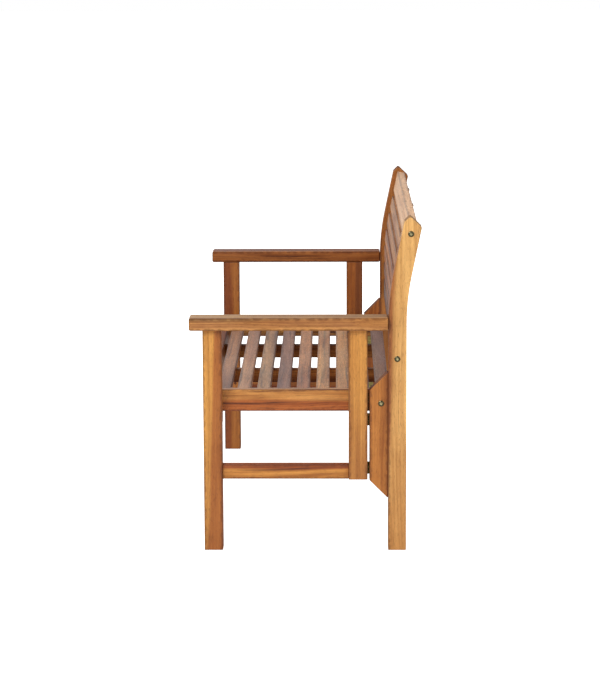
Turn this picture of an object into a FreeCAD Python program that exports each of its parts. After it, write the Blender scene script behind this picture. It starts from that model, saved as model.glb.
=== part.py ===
import FreeCAD, Part
import Sketcher
import math
import os

# Folding garden bench for two, in oiled hardwood.  Millimetres; X runs along the bench,
# -Y is the front, +Z is up, and the floor is Z = 0 under the middle of the bench.
# A back frame (two curved rear legs with crest rail, slats and bottom rail between them)
# carries a fixed wing plate on the front of each leg.  An arm frame (front leg, armrest,
# lower rail and rear post) hangs on two flap hinges from each wing plate, and the slatted
# seat turns on a bolt through each wing plate and rests on a cleat on each front leg.

doc = FreeCAD.newDocument("garden_bench")

# ---------------------------------------------------------------- driving dimensions
sizes = [
    ("BenchLength", 1200, "over the outer edges of the armrests"),
    ("BenchHeight", 880, "floor to the tips of the rear legs"),
    ("SeatHeight", 419, "floor to the top of the seat"),
    ("EdgeRound", 2, "eased edges of the sawn pieces"),
    ("ArmLength", 513, "armrest, front to back"),
    ("ArmWidth", 64, "armrest, along the bench"),
    ("ArmThick", 33, "armrest"),
    ("ArmTop", 619, "floor to the top of the armrest"),
    ("ArmRound", 5, "rounded edges of the armrest"),
    ("ArmOverhang", 20, "armrest past the outer face of the legs"),
    ("FrameThick", 44, "legs and posts, along the bench"),
    ("FrontLegDepth", 48.5, "front leg, front to back"),
    ("FrontLegInset", 34, "armrest tip to the front of the front leg"),
    ("PostDepth", 49, "rear post, front to back"),
    ("PostBottom", 189, "floor to the foot of the rear post"),
    ("LowerRailTall", 38, "rail low down between front leg and post"),
    ("LowerRailThick", 25, "the same rail, along the bench"),
    ("TenonLength", 30, "tenons of the lower rail"),
    ("TenonThick", 12, "tenons of the lower rail"),
    ("TenonTall", 28, "tenons of the lower rail"),
    ("PegRadius", 4, "pegs through the tenons"),
    ("PegLength", 32, "pegs through the tenons"),
    ("ArmDowelRadius", 5, "dowels under the armrest"),
    ("ArmDowelLength", 46, "dowels under the armrest"),
    ("ArmDowelRise", 18, "how far they enter the armrest"),
    ("ArmDowelSpread", 22, "between the two dowels of a joint"),
    ("FoldGap", 5, "post to wing plate, where the hinges bend"),
    ("LegFront", 513.5, "armrest tip to the front of the rear leg"),
    ("LegDepth", 47, "rear leg, front to back"),
    ("BendStart", 600, "floor to where the rear leg starts to curve"),
    ("BendRadius", 690, "curve of the rear leg's front face"),
    ("LegLean", 11.7, "lean of the upper rear leg, degrees"),
    ("TipSetback", 12, "front face to the tip, at the leg's top"),
    ("TipFrontDrop", 15, "tip to the front shoulder of the leg"),
    ("TipRearDrop", 29, "tip to the rear shoulder of the leg"),
    ("TipRound", 6, "rounded tip and shoulders of the leg"),
    ("WingDepth", 48.7, "wing plate, front to back"),
    ("WingThick", 36, "wing plate, along the bench"),
    ("WingBottom", 137, "floor to the wing plate's lower point"),
    ("WingTop", 473, "floor to the wing plate's upper point"),
    ("WingDowelRadius", 4, "dowels from wing plate to leg"),
    ("WingDowelLength", 36, "the same dowels"),
    ("WingDowelEdge", 37, "wing plate's points to its outer dowels"),
    ("BackSetback", 12, "leg's front face to the back boards"),
    ("BackRailThick", 22, "crest rail and bottom rail of the back"),
    ("BackSlatThick", 16, "slats of the back"),
    ("BackBottom", 483, "floor to the bottom rail of the back"),
    ("BottomRailTall", 52, "bottom rail of the back"),
    ("BackSlatTall", 35, "slats of the back"),
    ("BackGap", 17, "between the boards of the back"),
    ("CrestTall", 60, "crest rail"),
    ("HousingDepth", 10, "slat ends let into legs and seat rails"),
    ("BattenWidth", 34, "battens behind the back"),
    ("BattenThick", 10, "battens behind the back"),
    ("BattenSpread", 340, "between the two battens"),
    ("BattenTopDrop", 3, "crest rail's top edge to the battens' tops"),
    ("SeatClearance", 4, "seat rail to the arm frame and wing"),
    ("SeatRailTall", 58, "side rails of the seat"),
    ("SeatRailThick", 24, "side rails of the seat"),
    ("SeatFront", 34, "armrest tip to the front of the seat"),
    ("PivotSetback", 30.2, "wing plate's front to the seat pivot"),
    ("FrontRailTall", 58, "front rail of the seat"),
    ("FrontRailThick", 22, "front rail of the seat"),
    ("SeatSlatWide", 35, "slats of the seat"),
    ("SeatSlatThick", 18, "slats of the seat"),
    ("SeatSlatGap", 16.6, "between the slats of the seat"),
    ("FirstGap", 12.5, "front rail to the first slat"),
    ("BearerTall", 37, "bearers under the seat slats"),
    ("BearerThick", 24, "bearers under the seat slats"),
    ("BearerSpread", 344, "between the two bearers"),
    ("BearerDowelLength", 30, "dowels from bearer to front rail"),
    ("BearerDowelReach", 12, "how far they enter the front rail"),
    ("BearerDowelRise", 29, "front rail's underside to the dowels"),
    ("CleatTall", 30, "cleats that the seat rests on"),
    ("CleatThick", 20, "cleats that the seat rests on"),
    ("BoltRadius", 3, "bolts through the rear legs"),
    ("BoltHeadRadius", 7.7, "their flat heads"),
    ("BoltHeadThick", 2.6, "their flat heads"),
    ("BoltReach", 34, "how far they enter a back rail"),
    ("BarrelNutRadius", 5, "barrel nuts in the back rails"),
    ("BarrelNutLength", 14, "barrel nuts in the back rails"),
    ("SocketRadius", 2.3, "hexagon socket of the bolts, over corners"),
    ("SocketDepth", 2, "hexagon socket of the bolts"),
    ("PivotRadius", 4, "seat pivot bolts"),
    ("PivotPlay", 0.05, "pivot bolt to its bore in the seat rail"),
    ("PivotNutRadius", 7.5, "lock nut, over corners"),
    ("PivotNutThick", 8, "lock nut"),
    ("SpacerRadius", 10, "spacer between wing plate and seat rail"),
    ("WasherRadius", 9, "washer under the lock nut"),
    ("WasherThick", 1.6, "washer under the lock nut"),
    ("SidePlay", 0.2, "washers to the moving seat rail"),
    ("HingeTall", 32, "hinge leaves"),
    ("HingeLeafWide", 31, "hinge leaf from the pin outwards"),
    ("HingeThick", 2, "hinge leaves"),
    ("HingeCorner", 5, "rounded corners of the hinge leaves"),
    ("HingeEase", 0.3, "eased edges of the hinge leaves"),
    ("LeafGap", 0.3, "knuckle to the edge of a leaf"),
    ("KnuckleGap", 0.15, "each end of a knuckle to its share of the pin"),
    ("TabLap", 1, "how far a knuckle's tab laps its leaf"),
    ("HingePinInset", 0.5, "hinge pin's line to the inner face of the legs, past the knuckle"),
    ("HingeHigh", 323.5, "floor to the upper hinge"),
    ("HingeLow", 194, "floor to the lower hinge"),
    ("KnuckleRadius", 3.3, "hinge knuckles"),
    ("HingePinRadius", 1.6, "hinge pins"),
    ("ScrewRadius", 2, "wood screws"),
    ("ScrewHeadRadius", 4, "wood screw heads"),
    ("ScrewHeadTall", 2.4, "wood screw heads"),
    ("HingeScrewRadius", 1.7, "hinge screws"),
    ("HingeScrewHead", 3.2, "hinge screw heads"),
    ("HingeScrewLength", 17, "hinge screws"),
    ("HingeScrewOut", 24.8, "hinge pin to the outer screws of a leaf"),
    ("HingeScrewIn", 13, "hinge pin to the inner screw of a leaf"),
    ("HingeScrewEdge", 6.4, "leaf's ends to its outer screws"),
    ("SlatScrewLength", 37, "screws up through the bearers"),
    ("BattenScrewLength", 27, "screws through the battens"),
    ("CleatScrewLength", 40, "screws through the cleats"),
    ("FrontScrewLength", 50, "screws through the seat's corners"),
    ("CounterboreRadius", 4.6, "counterbores of the bearers"),
    ("CounterboreDepth", 13, "counterbores of the bearers"),
]
seat_slat_count = 9
back_slat_count = 5
quarter_points = (0.25, 0.75)

dims = doc.addObject("Spreadsheet::Sheet", "dims")
for row, (alias, value, note) in enumerate(sizes, start=1):
    dims.set(f"A{row}", note)
    dims.set(f"B{row}", str(value))
    dims.setAlias(f"B{row}", alias)

# ---------------------------------------------------------------- places worked out from them
places = doc.addObject("App::VarSet", "places")


def place(name, expression):
    """Add a named place, bound to an expression of the dimensions and earlier places."""
    places.addProperty("App::PropertyFloat", name)
    places.setExpression(name, expression)
    return "places." + name


doc.recompute()
degree = repr(math.pi / 180)
BEND_LENGTH = place("BendLength", f"dims.BendRadius * dims.LegLean * {degree}")


# the rear shoulder of the leg is the bench's rearmost point, and the armrest tip its foremost;
# rounding the shoulder draws it in a little
INNER_RADIUS = place("InnerRadius", "dims.BendRadius - dims.LegDepth")
SHOULDER_Z = place("ShoulderZ", "dims.BenchHeight - dims.TipRearDrop")
BEND_REAR_Z = place("BendRearZ", "dims.BendStart + places.InnerRadius * sin(dims.LegLean)")
place("BenchDepth", "dims.LegFront + dims.LegDepth + places.InnerRadius * (1 - cos(dims.LegLean))"
                    " + (places.ShoulderZ - places.BendRearZ) * tan(dims.LegLean)")
FRONT = place("Front", "-places.BenchDepth / 2")

LEG_FRONT = place("LegFrontY", f"{FRONT} + dims.LegFront")
LEG_REAR = place("LegRearY", f"{LEG_FRONT} + dims.LegDepth")
BEND_Z = place("BendFrontZ", "dims.BendStart + dims.BendRadius * sin(dims.LegLean)")
BEND_Y = place("BendFrontY", f"{LEG_FRONT} + dims.BendRadius * (1 - cos(dims.LegLean))")
BEND_REAR_Y = place("BendRearY", f"{LEG_REAR} + {INNER_RADIUS} * (1 - cos(dims.LegLean))")
TIP_Y = place("TipY", f"{BEND_Y} + (dims.BenchHeight - {BEND_Z}) * tan(dims.LegLean) + dims.TipSetback")
TIP_FRONT_Z = place("TipFrontZ", "dims.BenchHeight - dims.TipFrontDrop")
TIP_FRONT_Y = place("TipFrontY", f"{BEND_Y} + ({TIP_FRONT_Z} - {BEND_Z}) * tan(dims.LegLean)")

OUTSIDE = place("LegOutside", "dims.BenchLength / 2 - dims.ArmOverhang")
INSIDE = place("LegInside", f"{OUTSIDE} - dims.FrameThick")
SEAT_OUTSIDE = place("SeatOutside", f"{INSIDE} - dims.SeatClearance")
SEAT_INSIDE = place("SeatInside", f"{SEAT_OUTSIDE} - dims.SeatRailThick")

FRONT_LEG_Y = place("FrontLegY", f"{FRONT} + dims.FrontLegInset")
WING_FRONT = place("WingFrontY", f"{LEG_FRONT} - dims.WingDepth")
POST_REAR = place("PostRearY", f"{WING_FRONT} - dims.FoldGap")
POST_FRONT = place("PostFrontY", f"{POST_REAR} - dims.PostDepth")
ARM_UNDER = place("ArmUnderZ", "dims.ArmTop - dims.ArmThick")
SEAT_UNDER = place("SeatUnderZ", "dims.SeatHeight - dims.SeatRailTall")
PIVOT_Y = place("PivotY", f"{WING_FRONT} + dims.PivotSetback")
PIVOT_Z = place("PivotZ", "dims.SeatHeight - dims.SeatRailTall / 2")
HINGE_Y = place("HingeY", f"{POST_REAR} + dims.FoldGap / 2")
HINGE_X = place("HingeX", f"{INSIDE} - dims.KnuckleRadius + dims.HingePinInset")


def along_leg(name, distance):
    """Name Y, Z and lean of the leg's front face, a distance along it past the bend's start."""
    lean = place(name + "Lean", f"min(max({distance}; 0) / dims.BendRadius / {degree}; dims.LegLean)")
    past = place(name + "Past", f"max({distance} - places.BendLength; 0)")
    y = place(name + "Y", f"{FRONT} + dims.LegFront + dims.BendRadius * (1 - cos({lean}))"
                          f" + {past} * sin({lean})")
    z = place(name + "Z", f"dims.BendStart + min({distance}; 0) + dims.BendRadius * sin({lean})"
                          f" + {past} * cos({lean})")
    return y, z, lean


# ---------------------------------------------------------------- ways of making a piece
kept = []


def bind(thing, **bindings):
    """Bind properties to expressions; an underscore in a name stands for a dot."""
    for name, expression in bindings.items():
        thing.setExpression(name.replace("_", "."), str(expression))


def put(thing, x="0", y="0", z="0", axis=None, angle=None):
    """Place a thing, turned by an angle about an axis, with every value bound."""
    if axis:
        thing.Placement.Rotation = FreeCAD.Rotation(FreeCAD.Vector(*axis), 45)
        bind(thing, Placement_Rotation_Angle=angle)
    bind(thing, Placement_Base_x=x, Placement_Base_y=y, Placement_Base_z=z)
    return thing


def keep(thing, label):
    """Name a finished sub-part and keep it for writing out."""
    thing.Label = label
    kept.append(thing)
    return thing


def block(name, x, y, z, length, width, height):
    """A plain block from its low corner."""
    piece = doc.addObject("Part::Box", name)
    bind(piece, Length=length, Width=width, Height=height)
    return put(piece, x, y, z)


ALONG_X = ((0, 1, 0), "90")
INWARD = ((0, -1, 0), "90")
ALONG_Y = ((-1, 0, 0), "90")
UPWARD = (None, None)


def rod(name, radius, length, x, y, z, way):
    """A round rod that starts at a point and runs the given way."""
    piece = doc.addObject("Part::Cylinder", name)
    bind(piece, Radius=radius, Height=length)
    return put(piece, x, y, z, *way)


def cone(name, start_radius, end_radius, length, x, y, z, way):
    """A cone that starts at a point and runs the given way."""
    piece = doc.addObject("Part::Cone", name)
    bind(piece, Radius1=start_radius, Radius2=end_radius, Height=length)
    return put(piece, x, y, z, *way)


def cut(name, base, tools):
    """A piece with every tool taken out of it."""
    for number, tool in enumerate(tools):
        result = doc.addObject("Part::Cut", f"{name}_{number}")
        result.Base = base
        result.Tool = tool
        base = result
    return base


def join(name, pieces):
    """Pieces grown together into one solid."""
    result = doc.addObject("Part::MultiFuse", name)
    result.Shapes = pieces
    return result


def group(name, pieces):
    """Separate solids that share one name."""
    result = doc.addObject("Part::Compound", name)
    result.Links = pieces
    return result


def mirrored(name, source):
    """The same piece at the other end of the bench."""
    result = doc.addObject("Part::Mirroring", name)
    result.Source = source
    result.Normal = FreeCAD.Vector(1, 0, 0)
    return result


def value(expression):
    return float(places.evalExpression(str(expression)))


def outline(sketch, corners, arcs=None):
    """Closed outline through bound corners; arcs gives the bound centre of a side that is round."""
    arcs = arcs or {}
    places.recompute()
    points = [FreeCAD.Vector(value(a), value(b), 0) for a, b in corners]
    for side, start in enumerate(points):
        end = points[(side + 1) % len(points)]
        if side in arcs:
            a, b, turning = arcs[side]
            middle = FreeCAD.Vector(value(a), value(b), 0)
            circle = Part.Circle(middle, FreeCAD.Vector(0, 0, 1), (start - middle).Length)
            first, last = (start, end) if turning > 0 else (end, start)
            angles = [math.atan2((p - middle).y, (p - middle).x) for p in (first, last)]
            sketch.addGeometry(Part.ArcOfCircle(circle, *angles), False)
        else:
            sketch.addGeometry(Part.LineSegment(start, end), False)

    def ends(side):
        return (2, 1) if side in arcs and arcs[side][2] < 0 else (1, 2)

    for side in range(len(points)):
        following = (side + 1) % len(points)
        sketch.addConstraint(Sketcher.Constraint(
            "Coincident", side, ends(side)[1], following, ends(following)[0]))
    for side, (a, b) in enumerate(corners):
        for kind, expression in (("DistanceX", a), ("DistanceY", b)):
            number = sketch.addConstraint(Sketcher.Constraint(
                kind, -1, 1, side, ends(side)[0], value(expression)))
            sketch.setExpression(f"Constraints[{number}]", str(expression))
    for side, (a, b, turning) in arcs.items():
        number = sketch.addConstraint(Sketcher.Constraint("DistanceX", -1, 1, side, 3, value(a)))
        sketch.setExpression(f"Constraints[{number}]", str(a))


def body(name, plane):
    """A PartDesign body with an empty sketch on one of its own planes."""
    solid = doc.addObject("PartDesign::Body", name)
    sketch = solid.newObject("Sketcher::SketchObject", name + "_outline")
    origin = [f for f in solid.Origin.OriginFeatures if f.Role == plane][0]
    sketch.AttachmentSupport = [(origin, "")]
    sketch.MapMode = "FlatFace"
    return solid, sketch


def points_along(edge, axis):
    """Whether a straight edge runs along an axis."""
    run = edge.Vertexes[-1].Point - edge.Vertexes[0].Point
    return abs(run[axis]) > 0.99 * run.Length > 0


def pad(solid, sketch, length, rounding, corners=None, corner_radius=None):
    """Pad a sketch, round the edges that corners picks, and then ease all the edges."""
    feature = solid.newObject("PartDesign::Pad", solid.Name + "_pad")
    feature.Profile = sketch
    bind(feature, Length=length)
    doc.recompute()
    if corners:
        picked = [f"Edge{n}" for n, edge in enumerate(feature.Shape.Edges, 1) if corners(edge)]
        rounded = solid.newObject("PartDesign::Fillet", solid.Name + "_corners")
        rounded.Base = (feature, picked)
        bind(rounded, Radius=corner_radius)
        doc.recompute()
        feature = rounded
    eased = solid.newObject("PartDesign::Fillet", solid.Name + "_eased")
    eased.Base = (feature, ["Edge1"])
    eased.UseAllEdges = True
    bind(eased, Radius=rounding)
    solid.Tip = eased
    return solid


def board(name, length, width, height, rounding="dims.EdgeRound", corners=None, corner_radius=None):
    """A sawn board with eased edges, from its low corner."""
    solid, sketch = body(name, "XY_Plane")
    outline(sketch, [("0", "0"), (length, "0"), (length, width), ("0", width)])
    return pad(solid, sketch, height, rounding, corners, corner_radius)


def off_leg(at, back, up):
    """Y and Z of a point behind the leg's front face and up along it, from a place on that face."""
    y, z, lean = at
    return (f"{y} + ({back}) * cos({lean}) + ({up}) * sin({lean})",
            f"{z} - ({back}) * sin({lean}) + ({up}) * cos({lean})")


# ---------------------------------------------------------------- seat slats and back boards
def seat_slat(number):
    y = f"{FRONT} + dims.SeatFront + dims.FrontRailThick + dims.FirstGap" \
        f" + {number - 1} * (dims.SeatSlatWide + dims.SeatSlatGap)"
    half = f"({SEAT_INSIDE} + dims.HousingDepth)"
    slat = board(f"seat_slat_{number}_board", f"2 * {half}", "dims.SeatSlatWide", "dims.SeatSlatThick")
    return put(slat, f"-{half}", y, "dims.SeatHeight - dims.SeatSlatThick"), y


def back_board(label, bottom, tall, thick, half):
    """A board across the back, square to the curve of the legs at its middle."""
    at = along_leg(label.title().replace("_", ""), f"({bottom} + {tall} / 2 - dims.BendStart)")
    piece = board(label + "_board", f"2 * {half}", thick, tall)
    put(piece, f"-{half}", *off_leg(at, "dims.BackSetback", f"-{tall} / 2"), (-1, 0, 0), at[2])
    return piece, at


seat_slats = [seat_slat(number) for number in range(1, seat_slat_count + 1)]

SLAT_HALF = f"({INSIDE} + dims.HousingDepth)"
bottom_rail, bottom_rail_at = back_board(
    "back_bottom_rail", "dims.BackBottom", "dims.BottomRailTall", "dims.BackRailThick", INSIDE)
back_slats = []
for number in range(1, back_slat_count + 1):
    low = f"dims.BackBottom + dims.BottomRailTall + {number} * dims.BackGap" \
          f" + {number - 1} * dims.BackSlatTall"
    back_slats.append(back_board(
        f"back_slat_{number}", low, "dims.BackSlatTall", "dims.BackSlatThick", SLAT_HALF))
crest_low = f"dims.BackBottom + dims.BottomRailTall + {back_slat_count + 1} * dims.BackGap" \
            f" + {back_slat_count} * dims.BackSlatTall"
crest_rail, crest_at = back_board(
    "crest_rail", crest_low, "dims.CrestTall", "dims.BackRailThick", INSIDE)

# ---------------------------------------------------------------- fixings of the back frame
LEG_MIDDLE = f"{OUTSIDE} - dims.FrameThick / 2"


def bolt(name, radius, length, x, y, z):
    """A flat-headed bolt that runs in from the outside, with a hexagon socket."""
    head = rod(name + "_head", "dims.BoltHeadRadius", "dims.BoltHeadThick", x, y, z, ALONG_X)
    shank = rod(name + "_shank", radius, length, f"{x} - ({length})", y, z, ALONG_X)
    socket = doc.addObject("Part::Prism", name + "_socket")
    socket.Polygon = 6
    bind(socket, Circumradius="dims.SocketRadius", Height="dims.SocketDepth")
    put(socket, f"{x} + dims.BoltHeadThick - dims.SocketDepth", y, z, *ALONG_X)
    return cut(name, join(name + "_solid", [head, shank]), [socket])


BACK_BOLT_LENGTH = "dims.FrameThick + dims.BoltReach"
back_bolts, barrel_nuts, nut_bores = [], [], []
RAIL_MIDDLE = "dims.BackSetback + dims.BackRailThick / 2"
for name, at in (("crest", crest_at), ("bottom", bottom_rail_at)):
    y, z = off_leg(at, RAIL_MIDDLE, "0")
    back_bolts.append(bolt(f"{name}_bolt", "dims.BoltRadius", BACK_BOLT_LENGTH, OUTSIDE, y, z))
    nut_x = f"{INSIDE} - dims.BoltReach + 2 * dims.BarrelNutRadius"
    way = ((-1, 0, 0), f"90 + {at[2]}")
    start = off_leg(at, f"{RAIL_MIDDLE} - dims.BarrelNutLength / 2", "0")
    nut = rod(f"{name}_nut_solid", "dims.BarrelNutRadius", "dims.BarrelNutLength",
              nut_x, *start, way)
    barrel_nuts.append(cut(f"{name}_nut", nut, [back_bolts[-1]]))
    nut_bores.append(rod(f"{name}_nut_bore", "dims.BarrelNutRadius",
                         "dims.BarrelNutLength / 2 + dims.BackRailThick", nut_x, *start, way))


def both_sides(name, pieces):
    """The pieces and their mirror images, all under one name."""
    right = group(name + "_right", pieces)
    return group(name, pieces + [mirrored(name + "_left", right)])


keep(both_sides("back_bolts", back_bolts), "back_bolts")
keep(both_sides("barrel_nuts", barrel_nuts), "barrel_nuts")

# battens let into the backs of the two rails, and screwed to every board
BATTEN_FRONT = "dims.BackSetback + dims.BackSlatThick"
BATTEN_REAR = place("BattenRear", f"{BATTEN_FRONT} + dims.BattenThick")
BATTEN_X = "(dims.BattenSpread - dims.BattenWidth) / 2"
batten_top = along_leg(
    "BattenTop", f"({crest_low} + dims.CrestTall - dims.BattenTopDrop - dims.BendStart)")
batten_bend = along_leg("BattenBend", BEND_LENGTH)
batten_solid, batten_sketch = body("batten", "YZ_Plane")
CURVE_Y = place("CurveCentreY", f"{LEG_FRONT} + dims.BendRadius")
front_top = off_leg(batten_top, BATTEN_FRONT, "0")
rear_top = off_leg(batten_top, BATTEN_REAR, "0")
front_bend = off_leg(batten_bend, BATTEN_FRONT, "0")
rear_bend = off_leg(batten_bend, BATTEN_REAR, "0")
front_y = f"{LEG_FRONT} + {BATTEN_FRONT}"
rear_y = f"{LEG_FRONT} + {BATTEN_REAR}"
outline(batten_sketch, [
    (front_y, "dims.BackBottom"), (rear_y, "dims.BackBottom"), (rear_y, "dims.BendStart"),
    rear_bend, rear_top, front_top, front_bend, (front_y, "dims.BendStart")],
    arcs={2: (CURVE_Y, "dims.BendStart", -1), 6: (CURVE_Y, "dims.BendStart", 1)})
put(pad(batten_solid, batten_sketch, "dims.BattenWidth", "dims.EdgeRound"), BATTEN_X)
batten_left = mirrored("batten_mirror", batten_solid)

batten_screws = []


def wood_screw(name, length, x, y, z, way):
    """A countersunk wood screw whose head starts at a point and which runs the given way."""
    head = cone(name + "_head", "dims.ScrewHeadRadius", "dims.ScrewRadius", "dims.ScrewHeadTall",
                x, y, z, way)
    shank = rod(name + "_shank", "dims.ScrewRadius", length, x, y, z, way)
    return join(name, [head, shank])


for label, at in [("bottom", bottom_rail_at), ("crest", crest_at)] + [
        (f"slat_{n}", at) for n, (_, at) in enumerate(back_slats, 1)]:
    batten_screws.append(wood_screw(
        f"batten_screw_{label}", "dims.BattenScrewLength", f"{BATTEN_X} + dims.BattenWidth / 2",
        *off_leg(at, BATTEN_REAR, "0"), ((1, 0, 0), f"90 - {at[2]}")))
screws_of_battens = keep(both_sides("batten_screws", batten_screws), "batten_screws")
keep(cut("back_batten_right", batten_solid, [screws_of_battens]), "back_batten_right")
keep(cut("back_batten_left", batten_left, [screws_of_battens]), "back_batten_left")

for name, rail, at_bolt in (("crest_rail", crest_rail, 0), ("back_bottom_rail", bottom_rail, 1)):
    bores = both_sides(name + "_bores", [back_bolts[at_bolt], nut_bores[at_bolt]])
    notches = group(name + "_notches", [batten_solid, batten_left])
    keep(cut(name + "_cut", rail, [bores, notches, screws_of_battens]), name)
for number, (slat, at) in enumerate(back_slats, 1):
    keep(cut(f"back_slat_{number}_cut", slat, [screws_of_battens]), f"back_slat_{number}")

# ---------------------------------------------------------------- rear legs and wing plates
wing_dowels = []
for number, height in enumerate((
        "dims.WingBottom + dims.WingDowelEdge", "(dims.WingBottom + dims.WingTop) / 2",
        "dims.WingTop - dims.WingDowelEdge"), 1):
    wing_dowels.append(rod(
        f"wing_dowel_{number}", "dims.WingDowelRadius", "dims.WingDowelLength",
        f"{INSIDE} + dims.WingThick / 2", f"{LEG_FRONT} - dims.WingDowelLength / 2", height, ALONG_Y))
keep(both_sides("wing_dowels", wing_dowels), "wing_dowels")

PIVOT_HEAD_X = f"{INSIDE} + dims.WingThick"
PIVOT_BOLT_LENGTH = "dims.WingThick + dims.SeatClearance + dims.SeatRailThick + dims.SidePlay" \
                    " + dims.WasherThick + dims.PivotNutThick + dims.PivotRadius / 2"
pivot_bolt = bolt("pivot_bolt", "dims.PivotRadius", PIVOT_BOLT_LENGTH, PIVOT_HEAD_X, PIVOT_Y, PIVOT_Z)
SPACER = "dims.SeatClearance - dims.SidePlay"
spacer = rod("spacer_solid", "dims.SpacerRadius", SPACER,
             f"{INSIDE} - ({SPACER})", PIVOT_Y, PIVOT_Z, ALONG_X)
washer_x = f"{SEAT_INSIDE} - dims.SidePlay - dims.WasherThick"
washer = rod("washer_solid", "dims.WasherRadius", "dims.WasherThick",
             washer_x, PIVOT_Y, PIVOT_Z, ALONG_X)
lock_nut = doc.addObject("Part::Prism", "lock_nut_solid")
lock_nut.Polygon = 6
bind(lock_nut, Circumradius="dims.PivotNutRadius", Height="dims.PivotNutThick")
put(lock_nut, f"{washer_x} - dims.PivotNutThick", PIVOT_Y, PIVOT_Z, *ALONG_X)

keep(both_sides("pivot_bolts", [pivot_bolt]), "pivot_bolts")
for label, piece in (("pivot_spacers", spacer), ("pivot_washers", washer), ("pivot_lock_nuts", lock_nut)):
    keep(both_sides(label, [cut(label + "_bored", piece, [pivot_bolt])]), label)

leg_solid, leg_sketch = body("leg", "YZ_Plane")
outline(leg_sketch, [
    (LEG_FRONT, "0"), (LEG_FRONT, "dims.BendStart"), (BEND_Y, BEND_Z), (TIP_FRONT_Y, TIP_FRONT_Z),
    (TIP_Y, "dims.BenchHeight"), (f"-{FRONT}", SHOULDER_Z), (BEND_REAR_Y, BEND_REAR_Z),
    (LEG_REAR, "dims.BendStart"), (LEG_REAR, "0")],
    arcs={1: (CURVE_Y, "dims.BendStart", -1), 6: (CURVE_Y, "dims.BendStart", 1)})
tip_low = value(SHOULDER_Z) - 1
put(pad(leg_solid, leg_sketch, "dims.FrameThick", "dims.EdgeRound",
        lambda e: points_along(e, 0) and e.CenterOfMass.z > tip_low, "dims.TipRound"), INSIDE)
leg = cut("leg_cut", leg_solid, back_bolts + [slat for slat, _ in back_slats] + wing_dowels)
keep(leg, "rear_leg_right")
keep(mirrored("leg_mirror", leg), "rear_leg_left")

wing_solid, wing_sketch = body("wing", "YZ_Plane")
outline(wing_sketch, [
    (LEG_FRONT, "dims.WingBottom"), (WING_FRONT, "dims.WingBottom + dims.WingDepth"),
    (WING_FRONT, "dims.WingTop - dims.WingDepth"), (LEG_FRONT, "dims.WingTop")])
put(pad(wing_solid, wing_sketch, "dims.WingThick", "dims.EdgeRound"), INSIDE)

# ---------------------------------------------------------------- hinges between post and wing plate
post_leaves, wing_leaves, hinge_pins = [], [], []
hinge_screws, post_screws, wing_screws = [], [], []


def hinge_leaf(name, low, side, thirds):
    """A leaf on one side of the pin, with knuckles on the given thirds of its height."""
    edge = "(dims.KnuckleRadius + dims.LeafGap)"
    width = f"dims.HingeLeafWide - {edge}"
    free_edge = value(width) if side > 0 else 0
    plate = board(name + "_plate", "dims.HingeThick", width, "dims.HingeTall", "dims.HingeEase",
                  lambda e: points_along(e, 0) and abs(e.CenterOfMass.y - free_edge) < 1,
                  "dims.HingeCorner")
    plate_y = f"{HINGE_Y} + {edge}" if side > 0 else f"{HINGE_Y} - dims.HingeLeafWide"
    put(plate, f"{INSIDE} - dims.HingeThick", plate_y, low)
    pieces = [plate]
    for third in thirds:
        base = f"{low} + {third} * dims.HingeTall / 3 + dims.KnuckleGap"
        height = "dims.HingeTall / 3 - 2 * dims.KnuckleGap"
        pieces.append(rod(f"{name}_knuckle_{third}", "dims.KnuckleRadius", height,
                          HINGE_X, HINGE_Y, base, UPWARD))
        tab_y = HINGE_Y if side > 0 else f"{HINGE_Y} - {edge} - dims.TabLap"
        pieces.append(block(f"{name}_tab_{third}", f"{INSIDE} - dims.HingeThick", tab_y, base,
                            "dims.HingeThick", f"{edge} + dims.TabLap", height))
    return join(name, pieces)


def hinge_screw(name, y, z):
    """A countersunk screw from the face of a leaf into the wood behind it."""
    start = f"{INSIDE} - dims.HingeThick"
    head = cone(name + "_head", "dims.HingeScrewHead", "dims.HingeScrewRadius", "dims.HingeThick",
                start, y, z, ALONG_X)
    shank = rod(name + "_shank", "dims.HingeScrewRadius", "dims.HingeScrewLength", start, y, z, ALONG_X)
    return join(name, [head, shank])


leaf_screws = [("dims.HingeScrewOut", "dims.HingeScrewEdge"),
               ("dims.HingeScrewOut", "(dims.HingeTall - dims.HingeScrewEdge)"),
               ("dims.HingeScrewIn", "dims.HingeTall / 2")]
for label, low in (("upper", "dims.HingeHigh"), ("lower", "dims.HingeLow")):
    pin = rod(f"{label}_pin", "dims.HingePinRadius", "dims.HingeTall", HINGE_X, HINGE_Y, low, UPWARD)
    hinge_pins.append(pin)
    screws = []
    for piece, sign in (("post", "-"), ("wing", "+")):
        for number, (out, up) in enumerate(leaf_screws):
            screws.append(hinge_screw(
                f"{label}_screw_{piece}_{number}", f"{HINGE_Y} {sign} {out}", f"{low} + {up}"))
    hinge_screws += screws
    post_leaf = hinge_leaf(f"{label}_post_leaf", low, -1, (0, 2))
    wing_leaf = hinge_leaf(f"{label}_wing_leaf", low, 1, (1,))
    post_screws += screws[:3]
    wing_screws += screws[3:]
    post_leaves.append(cut(f"{label}_post_leaf_bored", post_leaf, [pin] + screws[:3]))
    wing_leaves.append(cut(f"{label}_wing_leaf_bored", wing_leaf, [pin] + screws[3:]))

keep(both_sides("hinge_leaves_post", post_leaves), "hinge_leaves_post")
keep(both_sides("hinge_leaves_wing", wing_leaves), "hinge_leaves_wing")
keep(both_sides("hinge_pins", hinge_pins), "hinge_pins")
keep(both_sides("hinge_screws", hinge_screws), "hinge_screws")

wing = cut("wing_cut", wing_solid, [pivot_bolt] + wing_dowels + wing_screws)
keep(wing, "wing_plate_right")
keep(mirrored("wing_mirror", wing), "wing_plate_left")

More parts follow.
